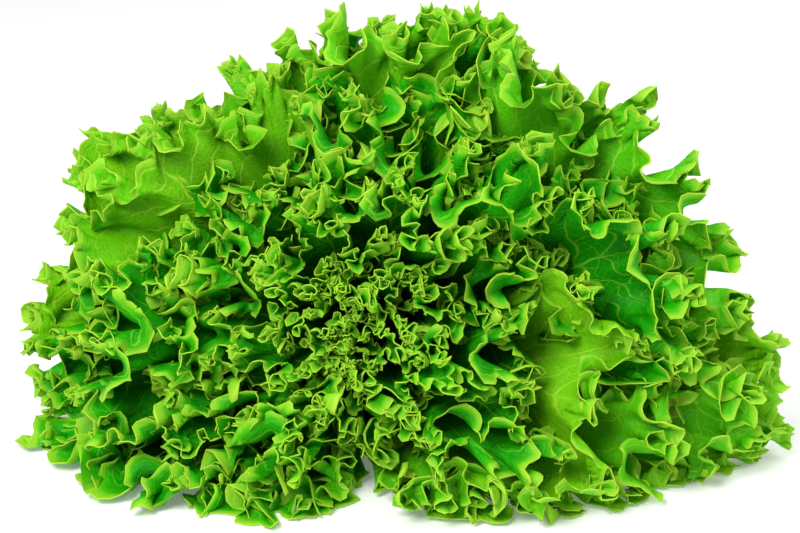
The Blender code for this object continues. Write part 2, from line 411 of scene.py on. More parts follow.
    def reach(self, phi: np.ndarray) -> np.ndarray:
        """Arc length of the outermost leaves.

        Args:
            phi: directions round the axis.

        Returns:
            Lengths in metres.
        """
        total = np.zeros_like(phi)
        weight = np.zeros_like(phi)
        for degrees, length in self.reaches:
            w = np.exp(self.reach_sharpness * (np.cos(phi - math.radians(degrees)) - 1.0))
            total = total + w * length
            weight = weight + w
        return total / weight

    def span(self, phi: np.ndarray, rank: np.ndarray) -> np.ndarray:
        """Usual length (m) of a leaf by direction and rank."""
        grown = self.reach(phi) - self.heart_length + self.over_reach
        return self.heart_length + grown * rank**self.length_power

    def place(self, phi: np.ndarray, way: np.ndarray, rank: np.ndarray) -> np.ndarray:
        """Point of the head.

        Args:
            phi: direction round the axis.
            way: way along the leaf, 1 at its usual length.
            rank: layer rank.

        Returns:
            Points in metres, with a last axis of 3.
        """
        rank = np.maximum(rank, 0.0)
        out = smooth(*self.drift_way, way)
        for ripple in self.twist:
            phi = phi + ripple.at(phi, rank)
        phi = phi + self.twist_outside.at(phi, rank) * out
        drift = sum(ripple.at(phi, rank) for ripple in self.drift)
        rank = np.maximum(rank + smooth(*self.drift_rank, rank) * out * drift, 0.0)
        rank = rank * (1.0 + self.swell.at(phi, rank) * out)

        low = smooth(*self.low_side, -np.sin(phi))
        root = rank * self.root_angle * (1.0 - low * self.low_root_relief)
        opening = rank**self.tip_power * self.tip_span
        tip = self.tip_angle + opening * (1.0 - low * self.low_tip_relief)
        span = self.span(phi, rank)
        for ripple in self.span_uneven:
            span = span * (1.0 + ripple.at(phi, rank))
        bend = (tip - root) / span
        bend = np.where(np.abs(bend) < self.least_bend, self.least_bend, bend)
        turned = root + bend * way * span

        near, far = self.root_radius
        radius = near + (far - near) * rank**self.root_radius_power
        radius = radius + (np.cos(root) - np.cos(turned)) / bend
        top, bottom = self.root_height
        height = top + (bottom - top) * rank
        height = height + (np.sin(turned) - np.sin(root)) / bend
        up = np.cross(self.axis, self.side)
        point = (
            np.array(self.butt)
            + (radius * np.cos(phi))[..., None] * self.side
            + (radius * np.sin(phi))[..., None] * up
            + height[..., None] * self.axis
        )
        rest = self.table_rest + self.table_layers * np.maximum(1.0 - rank, 0.0)
        pressed = np.logaddexp(0.0, (point[..., 2] - rest) / self.table_soft)
        point[..., 2] = rest + self.table_soft * pressed
        return point

    def press(self, point: np.ndarray, rank: float, soft: float) -> np.ndarray:
        """Points kept above the surface and above the layers that lie under them.

        Args:
            point: points in metres.
            rank: layer rank of their leaf.
            soft: height over which they give way (m).

        Returns:
            The pressed points.
        """
        rest = 2.0 * self.table_rest + self.table_layers * (1.0 - rank)
        point = point.copy()
        point[..., 2] = rest + soft * np.logaddexp(0.0, (point[..., 2] - rest) / soft)
        return point

    def layers(self) -> tuple[np.ndarray, np.ndarray]:
        """Share the ranks out among the leaves, direction by direction.

        Returns:
            Middle and half thickness of each leaf's layer, in rank, by direction.
        """
        directions = -math.pi + FULL_TURN * np.arange(self.cells) / self.cells
        away = np.abs(wrap(directions[None, :] - self.azimuths[:, None])) / self.half_widths[:, None]
        cover = self.edge_cover * smooth(*self.edge_zone, away)
        cover = cover + (1.0 - self.edge_cover) * smooth(*self.blade_zone, away)
        cover = cover * (self.layer_weight[0] + self.layer_weight[1] * self.ranks)[:, None]
        total = cover.sum(axis=0)
        middle = (np.cumsum(cover, axis=0) - cover / 2.0) / total
        half = cover / 2.0 / total
        narrowest = np.minimum.reduce([np.roll(half, step, axis=1) for step in self.soften])
        return middle, narrowest

    def plans(self) -> list[LeafPlan]:
        """Plan every leaf.

        Returns:
            The leaves of the solids, then the shorter young leaves between the outer ones.
        """
        middle, half = self.layers()
        plans = []
        for number in range(self.leaves):
            plan = LeafPlan(
                name=f"leaf_{number + 1:02d}",
                number=number,
                rank=float(self.ranks[number]),
                phi=float(self.azimuths[number]),
                half_width=float(self.half_widths[number]),
                middle=middle[number],
                half=half[number],
                character=self.characters.get(number, Character()),
            )
            plans.append(plan)
        rng = np.random.default_rng(self.young_seed)
        grown = [(series, host) for series in self.young for host in series.hosts]
        for place, (series, host) in enumerate(grown):
            old = plans[host]
            side = 1.0 if host % 2 else -1.0
            plan = replace(
                old,
                name=f"young_leaf_{place + 1:02d}",
                number=self.leaves + place,
                phi=old.phi + side * series.turn * old.half_width,
                half_width=old.half_width * self.young_width,
                middle=old.middle - series.layer * old.half,
                half=old.half * self.young_layer,
                character=Character(stretch=rng.uniform(*series.length), calm=self.young_calm),
            )
            plans.append(plan)
        return plans

    def look_up(self, table: np.ndarray, phi: np.ndarray) -> np.ndarray:
        """Read a table over directions, between its cells.

        Args:
            table: one value for each cell.
            phi: directions round the axis.

        Returns:
            Value in each direction.
        """
        x = (wrap(phi) + math.pi) / FULL_TURN * self.cells
        cell = np.floor(x).astype(int) % self.cells
        part = x - np.floor(x)
        return table[cell] * (1.0 - part) + table[(cell + 1) % self.cells] * part


@dataclass(frozen=True)
class EdgeFrame:
    """Directions at each point of a leaf: across, along and out of its face."""

    across: np.ndarray
    along: np.ndarray
    normal: np.ndarray

    @classmethod
    def of(cls, points: np.ndarray, axis: np.ndarray, foot: np.ndarray) -> "EdgeFrame":
        """Directions of a grid of points.

        Args:
            points: points of the blade (m), by row and column.
            axis: axis of the head.
            foot: a point of that axis.

        Returns:
            The directions, the normal away from the head's axis.
        """
        across = unit(np.gradient(points, axis=1))
        normal = unit(np.cross(across, np.gradient(points, axis=0)))
        along = np.cross(normal, across)
        outwards = points - foot
        outwards = outwards - (outwards @ axis)[..., None] * axis
        side = float(np.sign(np.sum(normal * outwards, axis=-1).mean()))
        return cls(across, along, normal * side)

    def turned(self, angle: np.ndarray) -> "EdgeFrame":
        """Directions after the lip has turned outwards.

        Args:
            angle: angle of the turn at each point.

        Returns:
            The turned directions.
        """
        level = np.cos(angle)[..., None]
        steep = np.sin(angle)[..., None]
        along = self.along * level + self.normal * steep
        return EdgeFrame(self.across, along, self.normal * level - self.along * steep)


@dataclass(frozen=True)
class Frill:
    """A train of waves along the margin.

    Attributes:
        height: height of a wave on an outer leaf (m).
        heart_share: share of that height in the heart.
        zone: depth of the waved margin, in the heart and added outside (m).
        sharpness: how quickly a wave rises towards the margin.
        pull_back: how far a wave shortens the leaf, as a share of its height.
        overhang: how far a wave leans over its neighbour, as a share of its height.
        amount: unevenness of the height.
        wander: unevenness of the wave length (rad).
    """

    height: float
    heart_share: float
    zone: tuple
    sharpness: float
    pull_back: float
    overhang: float
    amount: Uneven
    wander: Uneven | None = None

    def size(self, to_margin: np.ndarray, rank: float, a: np.ndarray, seed: int) -> np.ndarray:
        """Height of the waves.

        Args:
            to_margin: distance from the margin (m).
            rank: layer rank of the leaf.
            a: places across the leaf.
            seed: the leaf's own seed.

        Returns:
            Height at each point (m).
        """
        rise = np.clip(1.0 - to_margin / (self.zone[0] + self.zone[1] * rank), 0.0, 1.0)
        share = self.heart_share + (1.0 - self.heart_share) * rank
        return self.height * share * self.amount.at(a, seed) * rise**self.sharpness

    def wave(self, edge: EdgeFrame, phase: np.ndarray, size: np.ndarray) -> np.ndarray:
        """How far the waves move each point.

        Args:
            edge: directions at each point.
            phase: phase of the waves.
            size: height of the waves (m).

        Returns:
            Moves in metres.
        """
        rise = np.sin(phase)
        move = edge.normal * (size * rise)[..., None]
        move = move - edge.across * (self.overhang * size * np.sin(2.0 * phase))[..., None]
        return move - edge.along * (self.pull_back * size * rise * rise)[..., None]


CURLS = Frill(
    height=0.0078,
    heart_share=0.30,
    zone=(0.012, 0.012),
    sharpness=1.4,
    pull_back=0.7,
    overhang=0.55,
    amount=Uneven(4, 8, 3.0, swing=0.6, mean=0.85, limits=(0.15, 1.5)),
    wander=Uneven(3, 5, 2.0, swing=3.5),
)
RUFFLES = Frill(
    height=0.0028,
    heart_share=0.40,
    zone=(0.007, 0.006),
    sharpness=1.2,
    pull_back=0.5,
    overhang=0.4,
    amount=Uneven(6, 9, 5.0, swing=0.5, mean=0.8, limits=(0.1, 1.4)),
    wander=Uneven(5, 5, 3.0, swing=5.0),
)
CRIMPS = Frill(
    height=0.0006,
    heart_share=0.50,
    zone=(0.003, 0.003),
    sharpness=1.0,
    pull_back=0.0,
    overhang=0.0,
    amount=Uneven(13, 9, 7.0, swing=0.6, mean=0.5, limits=(0.0, 1.3)),
)


@dataclass(frozen=True)
class LeafGrid:
    """Where the vertices of a leaf's mesh lie on the leaf.

    Attributes:
        a: places across the blade, by row and column.
        t: places along the blade, by row and column.
        plan: places on the unfolded blade (m), by row and column.
        row: row of each vertex.
        column: column of each vertex.
    """

    a: np.ndarray
    t: np.ndarray
    plan: np.ndarray
    row: np.ndarray
    column: np.ndarray


@dataclass
class Leaf:
    """One leaf: its layer, outline, folds, frills, teeth and midrib.

    Lengths are in metres.  A size given as a pair is the size in the heart and what is
    added outside, a zone is where a smooth step starts and ends, and the places across
    the blade run from -1 to 1.

    Attributes:
        length_spread: how much the leaves' lengths differ, as a share.
        roll_allowance: length added outside for what the rolled lip takes up, as a share.
        fan: how narrowly the blade fans out: everywhere, at its sides and in its middle.
        opening: power by which it opens from the root, and what its side edges add.
        side_drop: how much shorter the sides are, as a share of the length.
        lobing: height of the small lobes of an outer leaf, as a share of the length.
        fold_counts: number of folds, each out and back in.
        fold_zone: depth of the folded part from the margin.
        fold_fill: share of its layer that the folds fill.
        fold_slope: how steep a fold may be.
        fold_meander: how far a fold leans over its neighbour.
        fold_retraction: share by which the folds shorten the leaf.
        even_share: share of the folds that are spaced evenly and not by length.
        rank_step: step at which the room between the layers is measured.
        flare_length: depth of the rolled lip.
        flare_ranks: ranks at which flare_amounts give its usual roll, 1 for flare_angle.
        curl_slant: how far the curls shift towards the root (rad).
        bands: depth from the margin, and how many columns join into one up to there.
        last_row: share of the length after which one row reaches the root.
        rib_width: half width of the midrib at the root and at the tip.
        sharp_angle: greatest angle over which the shading runs smoothly.
    """

    plan: LeafPlan
    rosette: Rosette

    seed_step: int = 7
    length_seed: int = 100
    length_spread: float = 0.05
    roll_allowance: float = 0.03

    root_half_width: float = 0.42
    fan: tuple = (0.12, 0.94, 0.76)
    opening: tuple = (0.90, 0.3)
    side_zone: tuple = (0.62, 1.0)
    side_rounding: float = 0.10
    side_drop: float = 0.50
    side_drop_power: float = 1.5
    side_power: float = 0.7
    lobes: Uneven = Uneven(4, 5, 2.0, swing=0.025)
    small_lobes: Uneven = Uneven(9, 7, 4.0)
    lobing: float = 0.032
    margin_points: int = 101

    fold_counts: tuple = (1.6, 8.4)
    fold_count_power: float = 0.6
    fold_zone: tuple = (0.024, 0.032)
    fold_rise: float = 1.5
    fold_fill: float = 0.88
    fold_slope: float = 1.15
    fold_extra: float = 1.25
    fold_meander: float = 1.3
    fold_retraction: float = 0.03
    fold_amount: Uneven = Uneven(3, 6, 1.6, swing=0.25, mean=0.95, limits=(0.5, 1.15))
    calm_side: float = 0.45
    calm_zone: tuple = (0.7, 1.0)
    crown_zone: tuple = (0.55, 0.85)
    even_share: float = 0.45
    even_waves: float = 20.0
    phase_spread: float = 0.8
    phase_uneven: Uneven = Uneven(1, 4, 1.0)
    fold_slant: float = 1.4
    slant_uneven: Uneven = Uneven(2, 3, 1.3)
    rank_step: float = 0.004

    flare_length: tuple = (0.008, 0.016)
    flare_angle: float = math.radians(90.0)
    flare_ranks: tuple = (0.05, 0.30, 0.55, 0.75, 1.00)
    flare_amounts: tuple = (0.40, -0.20, -0.75, -0.70, -0.35)
    flare_uneven: Uneven = Uneven(8, 6, 2.0, swing=0.45)
    flare_limits: tuple = (-1.3, 1.2)
    flare_side_loss: float = 0.6
    flare_side_zone: tuple = (0.8, 1.0)
    least_flare: float = 0.02

    curl_pitch: tuple = (0.009, 0.005)
    curl_start: float = 3.0
    curl_slant: Uneven = Uneven(12, 6, 2.5, swing=2.0)
    ruffles_per_curl: float = 2.3
    crimps_per_ruffle: float = 2.6
    lobe_length: tuple = (0.0009, 0.0024)
    tooth_length: tuple = (0.0009, 0.0014)
    tooth_depth: float = 0.008
    cusp_heights: tuple = (0.3, 1.5)
    cusps: int = 400
    hollow_power: float = 2.2
    fine_teeth: float = 3.0
    fine_tooth_height: float = 0.15

    least_columns: int = 90
    column_pitch: float = 0.00088
    bands: tuple = ((0.0048, 1), (0.015, 2), (0.050, 4), (1.0, 8))
    first_row: float = 0.0007
    row_growth: float = 1.25
    last_row: float = 0.97

    table_soft: float = 0.0012
    thickness: float = 0.00045
    rib_height: float = 0.0022
    rib_width: tuple = (0.0045, 0.0010)
    rib_length: float = 0.75
    rib_taper: float = 1.3
    least_rib: float = 0.01
    sharp_angle: float = math.radians(80.0)

    def __post_init__(self) -> None:
        """Work out the sizes that follow from the leaf's rank and direction."""
        self.number = self.plan.number
        self.rank = self.plan.rank
        self.phi = self.plan.phi
        self.half_width = self.plan.half_width
        self.middle = self.plan.middle
        self.seed = self.seed_step * self.number
        uneven = np.random.default_rng(self.length_seed + self.number).uniform(-1.0, 1.0)
        self.length = self.plan.character.stretch * (1.0 + self.length_spread * uneven)
        self.length *= 1.0 + self.roll_allowance * self.rank
        folds = self.fold_counts[0] + self.fold_counts[1] * self.rank**self.fold_count_power
        self.half_waves = 2 * round(folds)
        self.arc = float(self.rosette.span(np.array([self.phi]), self.rank)[0])
        self.zone = self.grown(self.fold_zone)
        self.margin_a, self.margin_share, self.margin_length = self.margin()
        self.fold_height = self.fold_slope * self.margin_length / (2 * self.half_waves)
        columns = self.least_columns + self.margin_length / self.column_pitch
        widest = self.bands[-1][1]
        self.columns = widest * round(columns / widest)
        self.rows = 0

    def grown(self, sizes: tuple) -> float:
        """Size at the leaf's rank."""
        return sizes[0] + sizes[1] * self.rank

    def margin(self) -> tuple[np.ndarray, np.ndarray, float]:
        """Measure the unfolded margin.

        Returns:
            Places across the blade, share of the margin before them, and its length (m).
        """
        a = np.linspace(-1.0, 1.0, self.margin_points)
        phi, way = self.outline(a, np.ones_like(a))
        line = self.rosette.place(phi, way, self.rosette.look_up(self.middle, phi))
        steps = np.linalg.norm(np.diff(line, axis=0), axis=1)
        run = np.concatenate([[0.0], np.cumsum(steps)])
        return a, run / run[-1], float(run[-1])

    def margin_power(self, a: np.ndarray) -> np.ndarray:
        """How quickly the way along the leaf runs out towards the margin."""
        return 1.0 + self.side_power * a * a

    def to_margin(self, a: np.ndarray, t: np.ndarray) -> np.ndarray:
        """Distance from the margin (m)."""
        return self.arc * (1.0 - t) ** self.margin_power(a)

    def edge_distance(self, a: np.ndarray, t: np.ndarray) -> np.ndarray:
        """Distance from the margin (m), with the way that the sides fan out."""
        fanned = self.half_width * self.arc * (1.0 - t) * np.abs(a) ** 3
        return np.hypot(self.to_margin(a, t), fanned)

    def outline(self, a: np.ndarray, t: np.ndarray) -> tuple[np.ndarray, np.ndarray]:
        """Direction and way along the leaf.

        Args:
            a: place across the blade, -1 to 1.
            t: place along the blade, 0 at the root and 1 at the margin.

        Returns:
            Direction round the axis and way along the leaf.
        """
        edge = np.abs(a)
        side = smooth(*self.side_zone, edge)
        lobes = self.lobes.at(a, self.seed) * (1.0 - side)
        lobes = lobes + self.lobing * self.rank * self.small_lobes.at(a, self.seed) * (1.0 - side)
        drop = self.side_drop * side**self.side_drop_power
        way = self.length * (1.0 - self.side_rounding * a * a - drop + lobes)
        always, at_edge, at_middle = self.fan
        fanned = self.half_width * a / (always + at_edge * edge**4 + at_middle * (1.0 - edge**4))
        open_up = t ** (self.opening[0] + self.opening[1] * edge)
        phi = self.phi + self.root_half_width * a * (1.0 - open_up) + fanned * open_up
        return phi, way * (1.0 - (1.0 - t) ** self.margin_power(a))

    def wave_angle(self, a: np.ndarray, t: np.ndarray) -> np.ndarray:
        """Phase of the main folds.

        Args:
            a: place across the blade.
            t: place along the blade.

        Returns:
            Phase at each point (rad).
        """
        uneven = (1.0 - a * a) * self.half_waves / self.even_waves
        by_length = np.interp(a, self.margin_a, self.margin_share)
        share = self.even_share * (a + 1.0) / 2.0 + (1.0 - self.even_share) * by_length
        angle = math.pi * self.half_waves * share
        angle = angle + self.phase_spread * uneven * self.phase_uneven.at(a, self.seed)
        slant = self.fold_slant * uneven * self.slant_uneven.at(a, self.seed)
        return angle + slant * (t - 1.0)

    def room(self, phi: np.ndarray, way: np.ndarray) -> np.ndarray:
        """Height of the folds that the layer and the wave length allow.

        Args:
            phi: direction round the axis.
            way: way along the leaf.

        Returns:
            Height at each point, in rank.
        """
        rank = self.rosette.look_up(self.middle, phi)
        step = self.rank_step
        above = self.rosette.place(phi, way, rank + step)
        below = self.rosette.place(phi, way, rank - step)
        rise = np.linalg.norm(above - below, axis=-1)
        filled = self.rosette.look_up(self.plan.half, phi) * self.fold_fill
        return np.minimum(filled, self.fold_height * 2.0 * step / rise)

    def folded(self, a: np.ndarray, t: np.ndarray) -> np.ndarray:
        """Blade with its main folds.

        Args:
            a: place across the blade.
            t: place along the blade.

        Returns:
            Points in metres.
        """
        angle = self.wave_angle(a, t)
        grow = np.clip(1.0 - self.to_margin(a, t) / self.zone, 0.0, 1.0) ** self.fold_rise
        lean = self.fold_meander / (math.pi * self.half_waves) * grow**2 * np.sin(2.0 * angle)
        amount = self.fold_amount.at(a, self.seed)
        amount = amount * (1.0 - self.calm_side * smooth(*self.calm_zone, np.abs(a)))
        wave = np.sin(angle) * amount * self.plan.character.calm
        phi, way = self.outline(a - lean, t)
        crown = 1.0 - smooth(*self.crown_zone, np.abs(a))
        way = way * (1.0 - crown * self.fold_retraction * wave**2 * grow**2)
        rank = self.rosette.look_up(self.middle, phi)
        rank = rank + self.fold_extra * grow * wave * self.room(phi, way)
        return self.rosette.place(phi, way, rank)

    def rolled(
        self, points: np.ndarray, a: np.ndarray, to_margin: np.ndarray
    ) -> tuple[np.ndarray, EdgeFrame]:
        """Roll the lip outwards.

        Args:
            points: points of the folded blade (m).
            a: place across the blade.
            to_margin: distance from the margin (m).

        Returns:
            The rolled points and the directions at each of them.
        """
        edge = EdgeFrame.of(points, self.rosette.axis, np.array(self.rosette.butt))
        length = self.grown(self.flare_length)
        run = np.clip(length - to_margin, 0.0, None)
        mean = np.interp(self.rank, self.flare_ranks, self.flare_amounts)
        uneven = self.flare_uneven.at(a, self.seed)
        amount = np.clip(mean + self.plan.character.roll + uneven, *self.flare_limits)
        calmer = self.flare_side_loss * smooth(*self.flare_side_zone, np.abs(a))
        angle = self.flare_angle * amount * (1.0 - calmer)
        angle = np.where(np.abs(angle) < self.least_flare, self.least_flare, angle)
        turn = angle * run / length
        rise = length / angle * (1.0 - np.cos(turn))
        back = run - length / angle * np.sin(turn)
        points = points + edge.normal * rise[..., None] - edge.along * back[..., None]
        return points, edge.turned(turn)

    def frilled(self, points: np.ndarray, a: np.ndarray, t: np.ndarray) -> np.ndarray:
        """Add the rolled lip, the curls, the ruffles, the crimps and the teeth.

        Args:
            points: points of the folded blade (m).
            a: place across the blade.
            t: place along the blade.

        Returns:
            Points in metres.
        """
        to_margin = self.to_margin(a, t)
        points, edge = self.rolled(points, a, to_margin)
        broad = self.plan.character.wave
        pitch = self.grown(self.curl_pitch) * broad
        curl = math.pi * self.margin_length / pitch * (a + 1.0) + self.curl_start
        curl = curl + CURLS.wander.at(a, self.seed)
        ruffle = curl * self.ruffles_per_curl * broad + RUFFLES.wander.at(a, self.seed)
        crimp = ruffle * self.crimps_per_ruffle
        slant = self.curl_slant.at(a, self.seed) * (t - 1.0)
        waves = ((CURLS, curl + slant, broad), (RUFFLES, ruffle + slant, 1.0), (CRIMPS, crimp, 1.0))
        for frill, phase, factor in waves:
            size = frill.size(to_margin, self.rank, a, self.seed) * factor
            points = points + frill.wave(edge, phase, size)
        cut = np.clip(1.0 - to_margin / self.tooth_depth, 0.0, 1.0)
        tips = self.teeth(curl) * self.grown(self.lobe_length)
        teeth = self.teeth(ruffle) * self.grown(self.tooth_length)
        return points + edge.along * ((tips + teeth) * cut)[..., None]

    def teeth(self, phase: np.ndarray) -> np.ndarray:
        """Height of the teeth: pointed cusps on the curls with hollow arcs between them.

        Args:
            phase: phase of the curls.

        Returns:
            Heights, about -1 to 1.
        """
        beat = phase / math.pi + 0.5
        first = np.floor(beat).astype(int)
        share = beat - first
        heights = np.random.default_rng(self.number).uniform(*self.cusp_heights, self.cusps)
        here = heights[first % self.cusps]
        after = heights[(first + 1) % self.cusps]
        cusp = here + (after - here) * share
        hollow = 1.0 - np.abs(2.0 * share - 1.0) ** self.hollow_power
        fine = 2.0 * np.abs(2.0 * ((beat * self.fine_teeth) % 1.0) - 1.0) - 1.0
        return cusp - hollow * (here + after) + self.fine_tooth_height * fine

    def lattice(self) -> tuple[np.ndarray, np.ndarray, np.ndarray]:
        """Rows, closer at the margin, and columns, which join away from it.

        Returns:
            Places across and along the blade, and the column that each point takes.
        """
        depths = [0.0]
        step = self.first_row
        while depths[-1] < self.arc * self.last_row:
            depths.append(min(depths[-1] + step, self.arc))
            step *= self.row_growth
        depths[-1] = self.arc
        depths = np.array(depths[::-1])
        self.rows = len(depths) - 1
        column = np.arange(self.columns + 1)
        picked = []
        for depth in depths:
            skip = next(skip for limit, skip in self.bands if depth <= limit)
            picked.append(np.minimum((column + skip // 2) // skip * skip, self.columns))
        a, t = np.meshgrid(np.linspace(-1.0, 1.0, self.columns + 1), 1.0 - depths / self.arc)
        return a, t, np.array(picked)

    def flat_plan(self, a: np.ndarray, t: np.ndarray) -> np.ndarray:
        """Unfold the blade.

        Args:
            a: places across the blade, by row and column.
            t: places along the blade, by row and column.

        Returns:
            Place of each point on the unfolded blade (m): across, along.
        """
        phi, way = self.outline(a, t)
        sheet = self.rosette.place(phi, way, self.rosette.look_up(self.middle, phi))
        across = np.linalg.norm(np.diff(sheet, axis=1), axis=-1)
        across = np.concatenate([np.zeros((len(a), 1)), np.cumsum(across, axis=1)], axis=1)
        middle = a.shape[1] // 2
        across = across - across[:, middle : middle + 1]
        along = np.linalg.norm(np.diff(sheet[:, middle], axis=0), axis=-1)
        along = np.concatenate([[0.0], np.cumsum(along)])
        return np.stack([across, np.repeat(along[:, None], a.shape[1], axis=1)], axis=-1)

    def build(self) -> bpy.types.Object:
        """Mesh of the leaf with its thickness, midrib and the marks that the finish reads.

        Returns:
            The leaf, at its place in the head.
        """
        a, t, picked = self.lattice()
        points = self.frilled(self.folded(a, t), a, t)
        points = self.rosette.press(points, self.rank, self.table_soft)
        bpy.ops.object.select_all(action="DESELECT")
        bpy.ops.mesh.primitive_grid_add(x_subdivisions=self.columns, y_subdivisions=self.rows, size=1.0)
        blade = bpy.context.object
        blade.name = f"fine_{self.plan.name}"
        start = mesh_points(blade.data)
        column = np.rint((start[:, 0] + 0.5) * self.columns).astype(int)
        row = np.rint((start[:, 1] + 0.5) * self.rows).astype(int)
        grid = LeafGrid(a, t, self.flat_plan(a, t), row, picked[row, column])
        move_points(blade.data, points[grid.row, grid.column])
        self.mark(blade.data, grid)
        self.thicken(blade, grid)
        return blade

    def mark(self, mesh: bpy.types.Mesh, grid: LeafGrid) -> None:
        """Keep for the finish where each point lies on the leaf.

        Args:
            mesh: grid before its doubles are merged.
            grid: where its vertices lie.
        """
        corner = np.zeros(len(mesh.loops), np.int32)
        mesh.loops.foreach_get("vertex_index", corner)
        plane = mesh.uv_layers[0]
        plane.name = "leaf_plane"
        places = grid.plan[grid.row[corner], grid.column[corner]]
        plane.data.foreach_set("uv", places.astype(np.float32).reshape(-1))
        tables = {
            "to_margin": self.edge_distance(grid.a, grid.t),
            "along": grid.t,
            "rank": np.full_like(grid.t, self.rank),
            # painted light: how much lighter and more veined the leaf is drawn
            "light": np.full_like(grid.t, self.plan.character.light),
        }
        write_values(mesh, {name: table[grid.row, grid.column] for name, table in tables.items()})

    def thicken(self, blade: bpy.types.Object, grid: LeafGrid) -> None:
        """Merge the gathered columns and give the blade its thickness, thicker at the rib.

        Args:
            blade: the leaf.
            grid: where its vertices lie.
        """
        group = blade.vertex_groups.new(name="rib")
        wide, narrow = self.rib_width
        width = wide + (narrow - wide) * grid.t
        rib = np.exp(-((grid.plan[..., 0] / width) ** 2))
        rib = rib * np.clip(1.0 - grid.t / self.rib_length, 0.0, 1.0) ** self.rib_taper
        weight = (rib * self.rank**0.5)[grid.row, grid.column]
        for index in np.nonzero(weight > self.least_rib)[0]:
            group.add([int(index)], float(weight[index]), "REPLACE")
        bpy.ops.object.mode_set(mode="EDIT")
        bpy.ops.mesh.select_all(action="SELECT")
        bpy.ops.mesh.remove_doubles(threshold=MERGE_DISTANCE)
        bpy.ops.mesh.quads_convert_to_tris(quad_method="FIXED", ngon_method="CLIP")
        bpy.ops.object.mode_set(mode="OBJECT")
        solid = blade.modifiers.new("blade", "SOLIDIFY")
        solid.thickness = self.thickness + self.rib_height
        solid.offset = 0.0
        solid.vertex_group = "rib"
        solid.thickness_vertex_group = self.thickness / (self.thickness + self.rib_height)
        solid.material_offset = 1
        solid.material_offset_rim = 2
        bpy.ops.object.modifier_apply(modifier=solid.name)
        blade.vertex_groups.clear()
        self.rest_on_table(blade.data)
        bpy.ops.object.shade_smooth_by_angle(angle=self.sharp_angle)

    def rest_on_table(self, mesh: bpy.types.Mesh) -> None:
        """Flatten what the thickness pushed through the surface.

        Args:
            mesh: mesh of the leaf.
        """
        co = mesh_points(mesh)
        co[:, 2] = np.maximum(co[:, 2], self.rosette.table_rest)
        move_points(mesh, co)


@dataclass(frozen=True)
class Socket:
    """A value that goes into or comes out of a pattern."""

    name: str
    kind: str = "NodeSocketFloat"
    default: float = 0.0


@dataclass(frozen=True)
class Zone:
    """Where a smooth step starts and ends, and its value at both."""

    low: float
    high: float
    start: float = 0.0
    end: float = 1.0


@dataclass(frozen=True)
class Grain:
    """Noise: its scale (per m), its detail, and how rough that is."""

    scale: float
    detail: float = 2.0
    rough: float = 0.5


